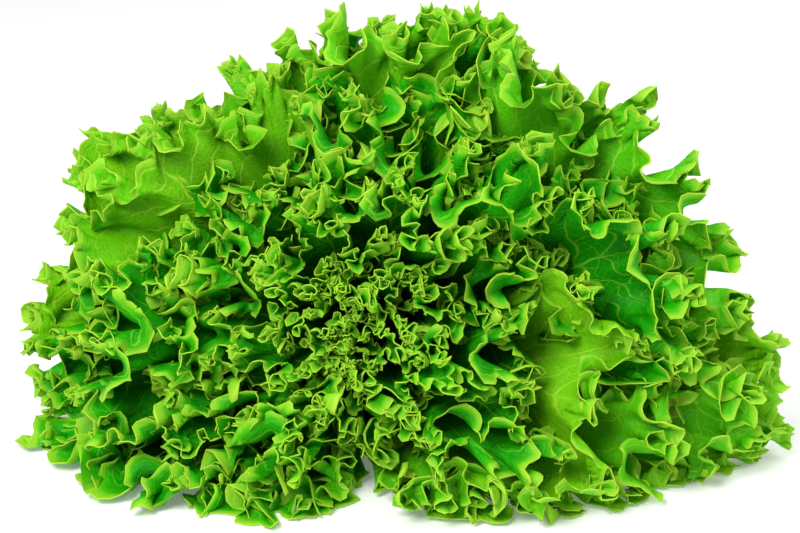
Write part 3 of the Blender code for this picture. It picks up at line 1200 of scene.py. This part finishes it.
class Pattern:
    """Node tree with short calls for the nodes that the finishes use.

    A value is an output of another node, a number, or a colour of three numbers.
    """

    def __init__(self, tree: bpy.types.NodeTree) -> None:
        """Keep the tree."""
        self.tree = tree

    def node(self, kind: str, **settings: object) -> bpy.types.Node:
        """New node.

        Args:
            kind: type of the node.
            **settings: its settings by name.

        Returns:
            The node.
        """
        made = self.tree.nodes.new(kind)
        for name, value in settings.items():
            setattr(made, name, value)
        return made

    def feed(self, socket: bpy.types.NodeSocket, value: object) -> None:
        """Link or set an input.

        Args:
            socket: the input.
            value: what goes in, or None to leave it.
        """
        if isinstance(value, bpy.types.NodeSocket):
            self.tree.links.new(value, socket)
        elif value is not None:
            socket.default_value = (*value, 1.0) if socket.type == "RGBA" else value

    def math(
        self, operation: str, first: object, second: object = None, third: object = None
    ) -> bpy.types.NodeSocket:
        """Result of a Math node.

        Args:
            operation: its operation.
            first: first value.
            second: second value.
            third: third value.

        Returns:
            Its output.
        """
        made = self.node("ShaderNodeMath", operation=operation)
        for socket, value in zip(made.inputs, (first, second, third)):
            self.feed(socket, value)
        return made.outputs[0]

    def times(self, first: object, second: object) -> bpy.types.NodeSocket:
        """Product of two values."""
        return self.math("MULTIPLY", first, second)

    def minus(self, first: object, second: object) -> bpy.types.NodeSocket:
        """Difference of two values."""
        return self.math("SUBTRACT", first, second)

    def over(self, first: object, second: object) -> bpy.types.NodeSocket:
        """Quotient of two values."""
        return self.math("DIVIDE", first, second)

    def most(self, first: object, second: object) -> bpy.types.NodeSocket:
        """Greater of two values."""
        return self.math("MAXIMUM", first, second)

    def ramp(self, value: object, zone: Zone) -> bpy.types.NodeSocket:
        """Smooth step of a value.

        Args:
            value: the value.
            zone: where the step lies.

        Returns:
            The step's value.
        """
        made = self.node("ShaderNodeMapRange", interpolation_type="SMOOTHSTEP")
        for socket, given in zip(made.inputs, (value, zone.low, zone.high, zone.start, zone.end)):
            self.feed(socket, given)
        return made.outputs[0]

    def mix(self, share: object, first: object, second: object) -> bpy.types.NodeSocket:
        """Mixed colour.

        Args:
            share: share of the second colour.
            first: first colour.
            second: second colour.

        Returns:
            The colour.
        """
        made = self.node("ShaderNodeMix", data_type="RGBA")
        for place, value in ((0, share), (6, first), (7, second)):
            self.feed(made.inputs[place], value)
        return made.outputs[2]

    def noise(self, place: object, grain: Grain, output: str = "Fac") -> bpy.types.NodeSocket:
        """Noise.

        Args:
            place: where it is read.
            grain: its scale and detail.
            output: Fac for a value, Color for three of them.

        Returns:
            The output.
        """
        made = self.node("ShaderNodeTexNoise")
        given = {"Vector": place, "Scale": grain.scale, "Detail": grain.detail, "Roughness": grain.rough}
        for name, value in given.items():
            self.feed(made.inputs[name], value)
        return made.outputs[output]

    def cells(self, place: object, scale: float, **settings: object) -> bpy.types.NodeSocket:
        """Distance in a pattern of cells.

        Args:
            place: where it is read.
            scale: cells per metre.
            **settings: settings of the node.

        Returns:
            The distance, in cells.
        """
        made = self.node("ShaderNodeTexVoronoi", **settings)
        self.feed(made.inputs["Vector"], place)
        self.feed(made.inputs["Scale"], scale)
        return made.outputs["Distance"]

    def borders(self, place: object, scale: float) -> bpy.types.NodeSocket:
        """Distance to the nearest border between flat cells."""
        return self.cells(place, scale, feature="DISTANCE_TO_EDGE", voronoi_dimensions="2D")

    def marks(self, name: str) -> bpy.types.NodeSocket:
        """Value that the mesh carries under a name."""
        return self.node("ShaderNodeAttribute", attribute_name=name).outputs["Fac"]

    def relief(self, shader: bpy.types.Node, height: object, strength: float, depth: float) -> None:
        """Bumps on a shader.

        Args:
            shader: the shader.
            height: height of the bumps, about 0 to 1.
            strength: how strongly they show.
            depth: depth that a height of 1 stands for (m).
        """
        made = self.node("ShaderNodeBump")
        for name, value in (("Strength", strength), ("Distance", depth), ("Height", height)):
            self.feed(made.inputs[name], value)
        self.feed(shader.inputs["Normal"], made.outputs[0])


class Finish:
    """What the finishes share: a material with its pattern and shader."""

    def start(self, name: str) -> tuple[bpy.types.Material, Pattern, bpy.types.Node, bpy.types.NodeSocket]:
        """New material.

        Args:
            name: its name.

        Returns:
            The material, its pattern, its shader, and the place on the object (m).
        """
        made = bpy.data.materials.new(name)
        made.use_nodes = True
        p = Pattern(made.node_tree)
        place = p.node("ShaderNodeTexCoord").outputs["Object"]
        return made, p, made.node_tree.nodes["Principled BSDF"], place


@dataclass
class VeinNet:
    """Midrib, side veins and the net between them, as masks and a height.

    Lengths are in metres and scales in cells per metre.

    Attributes:
        spacing: distance between side veins.
        slope: how far a side vein climbs for each step across.
        waver: how far the veins wander.
        rib_width: half width of the midrib, along the leaf.
        vein_width: half width of a side vein, by distance from the midrib.
    """

    spacing: float = 0.014
    slope: float = 0.9
    waver: float = 0.012
    waver_grain: Grain = Grain(60.0)
    rib_width: Zone = Zone(0.0, 0.95, 0.0042, 0.0006)
    rib_end: Zone = Zone(0.97, 0.8)
    vein_width: Zone = Zone(0.0, 0.06, 0.0011, 0.0004)
    fork_scale: float = 95.0
    fork_line: Zone = Zone(0.032, 0.0)
    fork_strength: float = 0.6
    net_scale: float = 330.0
    net_line: Zone = Zone(0.10, 0.0)
    blister: Zone = Zone(0.0, 0.45)

    def __post_init__(self) -> None:
        """Build the group once."""
        self.group = bpy.data.node_groups.new("vein_net", "ShaderNodeTree")
        sockets = (
            Socket("Plane", "NodeSocketVector"),
            Socket("Place", "NodeSocketVector"),
            Socket("Along"),
            Socket("Spacing", default=self.spacing),
            Socket("Slope", default=self.slope),
        )
        for socket in sockets:
            made = self.group.interface.new_socket(socket.name, in_out="INPUT", socket_type=socket.kind)
            if socket.kind == "NodeSocketFloat":
                made.default_value = socket.default
        for name in ("Rib", "Veins", "Net", "Blisters"):
            self.group.interface.new_socket(name, in_out="OUTPUT", socket_type="NodeSocketFloat")
        self.fill(Pattern(self.group))

    def fill(self, p: Pattern) -> None:
        """Nodes of the group.

        Args:
            p: pattern of the group.
        """
        given = p.node("NodeGroupInput").outputs
        shifted = p.node("ShaderNodeVectorMath", operation="MULTIPLY_ADD")
        wander = p.noise(given["Place"], self.waver_grain, "Color")
        for socket, value in zip(shifted.inputs, (wander, (self.waver, self.waver, 0.0), given["Plane"])):
            p.feed(socket, value)
        split = p.node("ShaderNodeSeparateXYZ")
        p.feed(split.inputs[0], shifted.outputs[0])
        across = p.math("ABSOLUTE", p.minus(split.outputs[0], self.waver / 2.0))
        along = p.minus(split.outputs[1], self.waver / 2.0)

        rib = p.minus(1.0, p.over(across, p.ramp(given["Along"], self.rib_width)))
        rib = p.times(p.most(rib, 0.0), p.ramp(given["Along"], self.rib_end))

        climb = p.minus(along, p.times(across, given["Slope"]))
        beat = p.math("FRACT", p.over(climb, given["Spacing"]))
        gap = p.times(p.minus(0.5, p.math("ABSOLUTE", p.minus(beat, 0.5))), given["Spacing"])
        veins = p.most(p.minus(1.0, p.over(gap, p.ramp(across, self.vein_width))), 0.0)
        forks = p.ramp(p.borders(shifted.outputs[0], self.fork_scale), self.fork_line)
        veins = p.most(veins, p.times(forks, self.fork_strength))

        net = p.borders(given["Plane"], self.net_scale)
        results = (rib, veins, p.ramp(net, self.net_line), p.ramp(net, self.blister))
        for socket, value in zip(p.node("NodeGroupOutput").inputs, results):
            p.feed(socket, value)


class Face(Enum):
    """Which face of the leaf a finish is for."""

    UPPER = "leaf_upper"
    UNDER = "leaf_under"
    RIM = "leaf_rim"


@dataclass(frozen=True)
class LeafFinish(Finish):
    """Finish of one face of the leaves, with linear colours.

    A zone is over the place along the leaf (0 at the root), the layer rank, the patches
    (a noise of 0 to 1) or the distance from the margin (m), as its name says.

    Attributes:
        deep: colour between the patches.
        blade: colour of the patches.
        sunlit: colour of the outer part of the outer leaves.
        sunlit_light: painted light: colour of the faces of the leaves whose light is above 0.
        young: tint near the margin.
        margin: colour of the lip.
        vein: colour of the veins.
        root: colour at the root.
        roughness: roughness of the skin.
        glow: share of the light that comes through.
        relief: how far the veins are sunk; they stand out where it is below 0.
        vein_strength: how strongly the side veins show.
    """

    face: Face
    deep: tuple
    blade: tuple
    sunlit: tuple
    sunlit_light: tuple
    young: tuple
    margin: tuple
    vein: tuple
    root: tuple
    roughness: float
    glow: float
    relief: float
    vein_strength: float

    patch_grain: Grain = Grain(26.0, 3.0, 0.55)
    blade_patches: Zone = Zone(0.35, 0.68)
    sunlit_along: Zone = Zone(0.35, 0.90)
    sunlit_rank: Zone = Zone(0.45, 0.90, 0.15, 1.0)
    sunlit_patches: Zone = Zone(0.30, 0.62, 0.35, 1.0)
    painted_light_along: Zone = Zone(0.30, 0.80)
    painted_light_share: float = 0.80
    young_margin: Zone = Zone(0.008, 0.0004)
    young_patches: Zone = Zone(0.15, 0.6, 0.6, 1.0)
    root_along: Zone = Zone(0.42, 0.04)
    root_rank: Zone = Zone(0.0, 0.4, 0.4, 1.0)
    net_share: float = 0.14
    painted_light_net_share: float = 0.20
    lip_margin: Zone = Zone(0.0042, 0.0004)
    lip_share: float = 0.62
    line_margin: Zone = Zone(0.0008, 0.0001)
    sheen_grain: Grain = Grain(120.0, 3.0, 0.6)
    sheen_zone: tuple = (0.2, 0.8)
    sheen_spread: tuple = (-0.08, 0.10)
    specular: float = 0.10
    blister_height: float = 0.35
    skin_grain: Grain = Grain(700.0)
    skin_height: float = 0.12
    bump_strength: float = 0.55
    bump_depth: float = 0.0006
    glow_tint: float = 0.2

    def colour(self, p: Pattern, place: bpy.types.NodeSocket, net: bpy.types.Node) -> bpy.types.NodeSocket:
        """Colour of the face, from the blade to the veins and the lip.

        Args:
            p: pattern of the material.
            place: place on the object.
            net: the veins.

        Returns:
            The colour.
        """
        to_margin, along, rank, light = map(p.marks, ("to_margin", "along", "rank", "light"))
        p.feed(net.inputs["Along"], along)
        patches = p.noise(place, self.patch_grain)
        colour = p.mix(p.ramp(patches, self.blade_patches), self.deep, self.blade)
        sunlit = p.times(p.ramp(along, self.sunlit_along), p.ramp(rank, self.sunlit_rank))
        sunlit = p.times(sunlit, p.ramp(patches, self.sunlit_patches))
        colour = p.mix(sunlit, colour, self.sunlit)
        # Painted light: the leaves with a light above 0 are drawn lighter towards their outer part, as
        # where light falls on them and shines through them.
        light = p.times(light, p.ramp(along, self.painted_light_along))
        colour = p.mix(p.times(light, self.painted_light_share), colour, self.sunlit_light)
        tint = p.times(p.ramp(to_margin, self.young_margin), p.ramp(patches, self.young_patches))
        colour = p.mix(tint, colour, self.young)
        pale = p.times(p.ramp(along, self.root_along), p.ramp(rank, self.root_rank))
        colour = p.mix(pale, colour, self.root)

        # Painted light also makes the veins of those leaves stronger and paler.
        strength = p.math("MULTIPLY_ADD", light, 1.0 - self.vein_strength, self.vein_strength)
        fine = p.math("MULTIPLY_ADD", light, self.painted_light_net_share, self.net_share)
        lines = p.most(p.times(net.outputs["Veins"], strength), p.times(net.outputs["Net"], fine))
        lines = p.most(lines, net.outputs["Rib"])
        colour = p.mix(lines, colour, p.mix(light, self.vein, self.margin))
        lip = p.times(p.ramp(to_margin, self.lip_margin), self.lip_share)
        lip = p.most(lip, p.ramp(to_margin, self.line_margin))
        return p.mix(lip, colour, self.margin)

    def material(self, veins: VeinNet) -> bpy.types.Material:
        """Material of the face.

        Args:
            veins: pattern of the veins.

        Returns:
            The finished material.
        """
        made, p, shader, place = self.start(self.face.value)
        net = p.node("ShaderNodeGroup", node_tree=veins.group)
        p.feed(net.inputs["Plane"], p.node("ShaderNodeUVMap", uv_map="leaf_plane").outputs[0])
        p.feed(net.inputs["Place"], place)
        colour = self.colour(p, place, net)
        p.feed(shader.inputs["Base Color"], colour)
        ends = [self.roughness + spread for spread in self.sheen_spread]
        sheen = p.ramp(p.noise(place, self.sheen_grain), Zone(*self.sheen_zone, *ends))
        p.feed(shader.inputs["Roughness"], sheen)
        shader.inputs["Specular IOR Level"].default_value = self.specular

        height = p.times(net.outputs["Blisters"], self.blister_height)
        height = p.minus(height, p.times(net.outputs["Veins"], self.relief))
        height = p.math("ADD", height, p.times(p.noise(place, self.skin_grain), self.skin_height))
        p.relief(shader, height, self.bump_strength, self.bump_depth)

        through = p.node("ShaderNodeBsdfTranslucent")
        p.feed(through.inputs["Color"], p.mix(self.glow_tint, colour, self.sunlit))
        both = p.node("ShaderNodeMixShader")
        for socket, value in zip(both.inputs, (self.glow, shader.outputs[0], through.outputs[0])):
            p.feed(socket, value)
        p.feed(made.node_tree.nodes["Material Output"].inputs["Surface"], both.outputs[0])
        return made


UPPER_FINISH = LeafFinish(
    face=Face.UPPER,
    deep=(0.001, 0.225, 0.001),
    blade=(0.010, 0.400, 0.002),
    sunlit=(0.012, 0.480, 0.002),
    sunlit_light=(0.250, 0.710, 0.004),
    young=(0.075, 0.580, 0.002),
    margin=(0.490, 0.800, 0.050),
    vein=(0.260, 0.700, 0.030),
    root=(0.420, 0.580, 0.200),
    roughness=0.42,
    glow=0.25,
    relief=0.5,
    vein_strength=0.75,
)
UNDER_FINISH = LeafFinish(
    face=Face.UNDER,
    deep=(0.006, 0.260, 0.002),
    blade=(0.028, 0.420, 0.004),
    sunlit=(0.025, 0.490, 0.004),
    sunlit_light=(0.260, 0.700, 0.010),
    young=(0.095, 0.580, 0.003),
    margin=(0.490, 0.800, 0.050),
    vein=(0.300, 0.660, 0.080),
    root=(0.520, 0.640, 0.320),
    roughness=0.52,
    glow=0.25,
    relief=-0.6,
    vein_strength=0.85,
)
RIM_FINISH = LeafFinish(
    face=Face.RIM,
    deep=(0.120, 0.540, 0.008),
    blade=(0.180, 0.600, 0.012),
    sunlit=(0.300, 0.660, 0.030),
    sunlit_light=(0.300, 0.660, 0.030),
    young=(0.340, 0.690, 0.030),
    margin=(0.500, 0.810, 0.090),
    vein=(0.440, 0.700, 0.120),
    root=(0.500, 0.640, 0.300),
    roughness=0.45,
    glow=0.30,
    relief=0.0,
    vein_strength=0.2,
)


@dataclass(frozen=True)
class StemFinish(Finish):
    """Finish of the stem: pale wet tissue, browned where it was cut.

    A zone is over the clouds (a noise of 0 to 1), the distance from the sap ring or the
    distance from the axis, both as shares of the radius, as its name says.
    """

    skin: tuple = (0.560, 0.660, 0.360)
    pith: tuple = (0.780, 0.800, 0.580)
    sap_ring: tuple = (0.600, 0.560, 0.300)
    browned: tuple = (0.360, 0.190, 0.070)
    roughness: float = 0.42

    cloud_grain: Grain = Grain(160.0, 4.0, 0.6)
    skin_clouds: Zone = Zone(0.30, 0.75)
    ring_place: Zone = Zone(0.0, 1.0, 0.66, 0.78)
    sap_width: Zone = Zone(0.10, 0.0)
    stain_out: Zone = Zone(0.62, 1.0)
    stain_clouds: Zone = Zone(0.30, 0.70)
    pore_scale: float = 420.0
    pore_size: Zone = Zone(0.35, 0.15)
    pore_ring: Zone = Zone(0.16, 0.0)
    pore_stain: float = 0.7
    pore_depth: float = -0.8
    sheen_zone: tuple = (0.2, 0.8)
    sheen_spread: tuple = (-0.1, 0.15)
    relief_grain: Grain = Grain(500.0, 4.0, 0.6)
    bump_strength: float = 0.5
    bump_depth: float = 0.0008

    def material(self) -> bpy.types.Material:
        """Material of the whole stem.

        Returns:
            The finished material.
        """
        made, p, shader, place = self.start("stem_flesh")
        out = p.marks("from_axis")
        cloud = p.noise(place, self.cloud_grain)
        ring = p.math("ABSOLUTE", p.minus(out, p.ramp(cloud, self.ring_place)))
        face = p.mix(p.ramp(ring, self.sap_width), self.pith, self.sap_ring)
        stain = p.times(p.ramp(out, self.stain_out), p.ramp(cloud, self.stain_clouds))
        face = p.mix(stain, face, self.browned)
        pores = p.ramp(p.cells(place, self.pore_scale), self.pore_size)
        pores = p.times(pores, p.ramp(ring, self.pore_ring))
        face = p.mix(p.times(pores, self.pore_stain), face, self.browned)
        skin = p.mix(p.ramp(cloud, self.skin_clouds), self.skin, self.pith)
        p.feed(shader.inputs["Base Color"], p.mix(p.marks("cut_face"), skin, face))
        ends = [self.roughness + spread for spread in self.sheen_spread]
        p.feed(shader.inputs["Roughness"], p.ramp(cloud, Zone(*self.sheen_zone, *ends)))
        grain = p.math("ADD", p.noise(place, self.relief_grain), p.times(pores, self.pore_depth))
        p.relief(shader, grain, self.bump_strength, self.bump_depth)
        return made


@dataclass
class Stem:
    """Stem inside the leaf roots and the butt with its cut face, in metres.

    Attributes:
        rosette: the head that it carries.
        gap: distance from the leaf roots.
        steps: rings of the outline between the tip and the butt.
        radius: radius of the butt.
        cut: height of the cut face.
        tip: height of the tip above the heart's roots.
        shoulder: outline of the butt's side: distance from its radius, height.
        rim: outline of the cut's rim: distance from the radius and from the cut.
        face_rings: rings of the cut face, as shares of the radius.
        face_waves: waves from the middle of the cut face to its rim (rad).
        lumps: unevenness of the skin: size, lumps round (per rad), climb (rad/m), phase.
    """

    rosette: Rosette
    gap: float = 0.0012
    steps: int = 10
    radius: float = 0.0220
    cut: float = -0.0100
    tip: float = 0.001
    shoulder: tuple = ((-0.0010, 0.0065), (-0.0002, 0.0045), (0.0, 0.0020), (0.0, -0.0040))
    rim: tuple = ((0.0, 0.0012), (-0.0004, 0.0004), (-0.0014, 0.0))
    face_rings: tuple = (0.88, 0.80, 0.72, 0.64, 0.50, 0.36, 0.22, 0.10)
    face_relief: float = 0.0003
    face_waves: float = 9.0
    face_middle: float = 0.0002
    sides: int = 72
    unevenness: float = 0.0006
    mean_lump: float = 1.2
    lump_share: float = 0.6
    lumps: tuple = ((1.0, 5.0, 300.0, 0.0), (0.7, 9.0, -500.0, 1.0))
    cut_zone: tuple = (0.0010, 0.0004)

    def profile(self) -> list[tuple[float, float]]:
        """Outline of the stem.

        Returns:
            Radius and height, from the tip to the cut face's middle.
        """
        near, far = self.rosette.root_radius
        top, bottom = self.rosette.root_height
        outline = [(0.0, top + self.tip)]
        for step in range(self.steps + 1):
            rank = step / self.steps
            radius = near + (far - near) * rank**self.rosette.root_radius_power
            outline.append((radius - self.gap, top + (bottom - top) * rank))
        outline += [(self.radius + out, height) for out, height in self.shoulder]
        outline += [(self.radius + out, self.cut + height) for out, height in self.rim]
        for share in self.face_rings:
            height = self.cut + self.face_relief * math.sin(self.face_waves * share)
            outline.append((self.radius * share, height))
        outline.append((0.0, self.cut + self.face_middle))
        return outline

    def build(self) -> bpy.types.Object:
        """Turned stem with an uneven skin.

        Returns:
            The stem, at its place in the head.
        """
        outline = self.profile()
        bpy.ops.object.select_all(action="DESELECT")
        bpy.ops.mesh.primitive_plane_add(size=0.001, location=(0.0, 0.0, 0.0))
        stem = bpy.context.object
        stem.name = "fine_stem"
        bpy.ops.object.mode_set(mode="EDIT")
        bpy.ops.mesh.select_all(action="SELECT")
        bpy.ops.mesh.merge(type="CENTER")
        bpy.ops.transform.translate(value=(outline[0][0], 0.0, outline[0][1]))
        for (radius, height), (next_radius, next_height) in zip(outline, outline[1:]):
            step = (next_radius - radius, 0.0, next_height - height)
            bpy.ops.mesh.extrude_region_move(TRANSFORM_OT_translate={"value": step})
        bpy.ops.mesh.select_all(action="SELECT")
        bpy.ops.mesh.spin(steps=self.sides, angle=FULL_TURN, center=(0.0, 0.0, 0.0), axis=(0.0, 0.0, 1.0))
        bpy.ops.mesh.select_all(action="SELECT")
        bpy.ops.mesh.remove_doubles(threshold=MERGE_DISTANCE)
        bpy.ops.mesh.normals_make_consistent(inside=False)
        bpy.ops.object.mode_set(mode="OBJECT")
        self.weather(stem.data)
        lean = Vector(self.rosette.axis).to_track_quat("Z", "X").to_matrix().to_4x4()
        stem.data.transform(Matrix.Translation(self.rosette.butt) @ lean)
        stem.data.shade_smooth()
        return stem

    def weather(self, mesh: bpy.types.Mesh) -> None:
        """Uneven skin and the marks that the finish reads.

        Args:
            mesh: turned mesh, upright at the origin.
        """
        co = mesh_points(mesh).astype(float)
        out = np.hypot(co[:, 0], co[:, 1])
        turn = np.arctan2(co[:, 1], co[:, 0])
        start, end = (self.cut + height for height in self.cut_zone)
        write_values(mesh, {"from_axis": out / self.radius, "cut_face": smooth(start, end, co[:, 2])})
        lumps = np.zeros_like(out)
        for size, round_about, climb, phase in self.lumps:
            lumps = lumps + size * np.sin(round_about * turn + climb * co[:, 2] + phase)
        inward = 1.0 - self.unevenness / self.radius * (self.mean_lump + lumps * self.lump_share)
        co[:, :2] *= inward[:, None]
        move_points(mesh, co)


@dataclass(frozen=True)
class Lamp:
    """Soft square light: its place and size (m) and its power (W)."""

    place: tuple
    size: float
    power: float


@dataclass(frozen=True)
class Studio:
    """Pale floor, soft lights and the camera.

    Lengths are in metres.  The values that start with photo and head are pixels of the
    photograph: its size and the box that the head fills.

    Attributes:
        aim: point that the lamps and at first the camera look at.
        elevation: angle of the camera above the surface.
        distance: distance of the camera from its aim.
        sensor: width of the camera's sensor.
        passes: times that the camera is set again for the framing to settle.
    """

    aim: tuple = (0.0, 0.0, 0.07)
    floor_size: float = 6.0
    floor_colour: tuple = (0.94, 0.94, 0.94)
    floor_roughness: float = 0.6
    floor_glow: float = 0.14
    sky: float = 0.38
    lamps: tuple = (Lamp((-0.5, -0.6, 1.0), 0.7, 16.0), Lamp((0.8, 0.1, 0.8), 0.8, 8.0))
    elevation: float = math.radians(24.0)
    distance: float = 1.1
    sensor: float = 0.036
    passes: int = 6
    photo_width: float = 800.0
    photo_height: float = 533.0
    head_left: float = 12.0
    head_right: float = 798.0
    head_top: float = 0.0
    head_bottom: float = 528.0

    def build_floor(self) -> bpy.types.Object:
        """Floor under the head.

        Returns:
            The floor.
        """
        bpy.ops.object.select_all(action="DESELECT")
        bpy.ops.mesh.primitive_plane_add(size=self.floor_size)
        floor = bpy.context.object
        floor.name = "floor"
        made = bpy.data.materials.new("floor")
        made.use_nodes = True
        settings = {
            "Base Color": (*self.floor_colour, 1.0),
            "Roughness": self.floor_roughness,
            "Emission Color": WHITE,
            "Emission Strength": self.floor_glow,
        }
        for name, value in settings.items():
            made.node_tree.nodes["Principled BSDF"].inputs[name].default_value = value
        floor.data.materials.append(made)
        return floor

    def light(self) -> None:
        """Even sky and soft square lights."""
        world = bpy.data.worlds.new("studio")
        world.use_nodes = True
        sky = world.node_tree.nodes["Background"]
        sky.inputs["Color"].default_value = WHITE
        sky.inputs["Strength"].default_value = self.sky
        bpy.context.scene.world = world
        for number, lamp in enumerate(self.lamps):
            light = bpy.data.lights.new(f"lamp_{number}", "AREA")
            light.size = lamp.size
            light.energy = lamp.power
            holder = bpy.data.objects.new(light.name, light)
            holder.location = lamp.place
            look = Vector(self.aim) - Vector(lamp.place)
            holder.rotation_euler = look.to_track_quat("-Z", "Y").to_euler()
            bpy.context.scene.collection.objects.link(holder)

    def place_camera(self, points: np.ndarray) -> bpy.types.Object:
        """Camera at the photograph's angle, with the head filling the same part of the frame.

        Args:
            points: points of the head.

        Returns:
            The camera.
        """
        lens = bpy.data.cameras.new("camera")
        lens.sensor_width = self.sensor * MILLIMETRES
        camera = bpy.data.objects.new("camera", lens)
        bpy.context.scene.collection.objects.link(camera)
        look = np.array([0.0, math.cos(self.elevation), -math.sin(self.elevation)])
        right = np.array([1.0, 0.0, 0.0])
        up = np.cross(right, look)
        aim = np.array(self.aim)
        width = (self.head_right - self.head_left) / self.photo_width
        height = (self.head_bottom - self.head_top) / self.photo_width
        middle_x = (self.head_left + self.head_right - self.photo_width) / 2.0 / self.photo_width
        middle_y = (self.photo_height - self.head_top - self.head_bottom) / 2.0 / self.photo_width
        for _ in range(self.passes):
            eye = aim - look * self.distance
            away = (points - eye) @ look
            x = (points - eye) @ right / away
            y = (points - eye) @ up / away
            focal = min(width / np.ptp(x), height / np.ptp(y))
            off_x = (x.max() + x.min()) / 2.0 - middle_x / focal
            off_y = (y.max() + y.min()) / 2.0 - middle_y / focal
            aim = aim + (right * off_x + up * off_y) * self.distance
        lens.lens = focal * self.sensor * MILLIMETRES
        camera.location = aim - look * self.distance
        camera.rotation_euler = Vector(look).to_track_quat("-Z", "Y").to_euler()
        bpy.context.scene.camera = camera
        return camera


def main() -> None:
    """Build and dress every piece."""
    logging.basicConfig(level=logging.INFO, format="%(message)s")
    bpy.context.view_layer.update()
    rosette = Rosette()
    veins = VeinNet()
    finishes = [finish.material(veins) for finish in (UPPER_FINISH, UNDER_FINISH, RIM_FINISH)]
    points = []
    triangles = 0
    for plan in rosette.plans():
        blade = Leaf(plan, rosette).build()
        for finish in finishes:
            blade.data.materials.append(finish)
        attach(blade, BODY)
        if plan.number < rosette.leaves:
            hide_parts(plan.name)
        points.append(mesh_points(blade.data))
        faces = sum(len(polygon.vertices) - 2 for polygon in blade.data.polygons)
        triangles += faces
        log.info("%s: %d triangles", blade.name, faces)

    stem = Stem(rosette).build()
    stem.data.materials.append(StemFinish().material())
    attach(stem, BODY)
    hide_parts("stem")
    log.info("%s: %d vertices", stem.name, len(stem.data.vertices))

    studio = Studio()
    studio.build_floor()
    studio.light()
    studio.place_camera(np.concatenate(points))
    bpy.context.scene.view_settings.view_transform = "Standard"
    log.info("%d triangles of leaves", triangles)


if __name__ == "__main__":
    main()
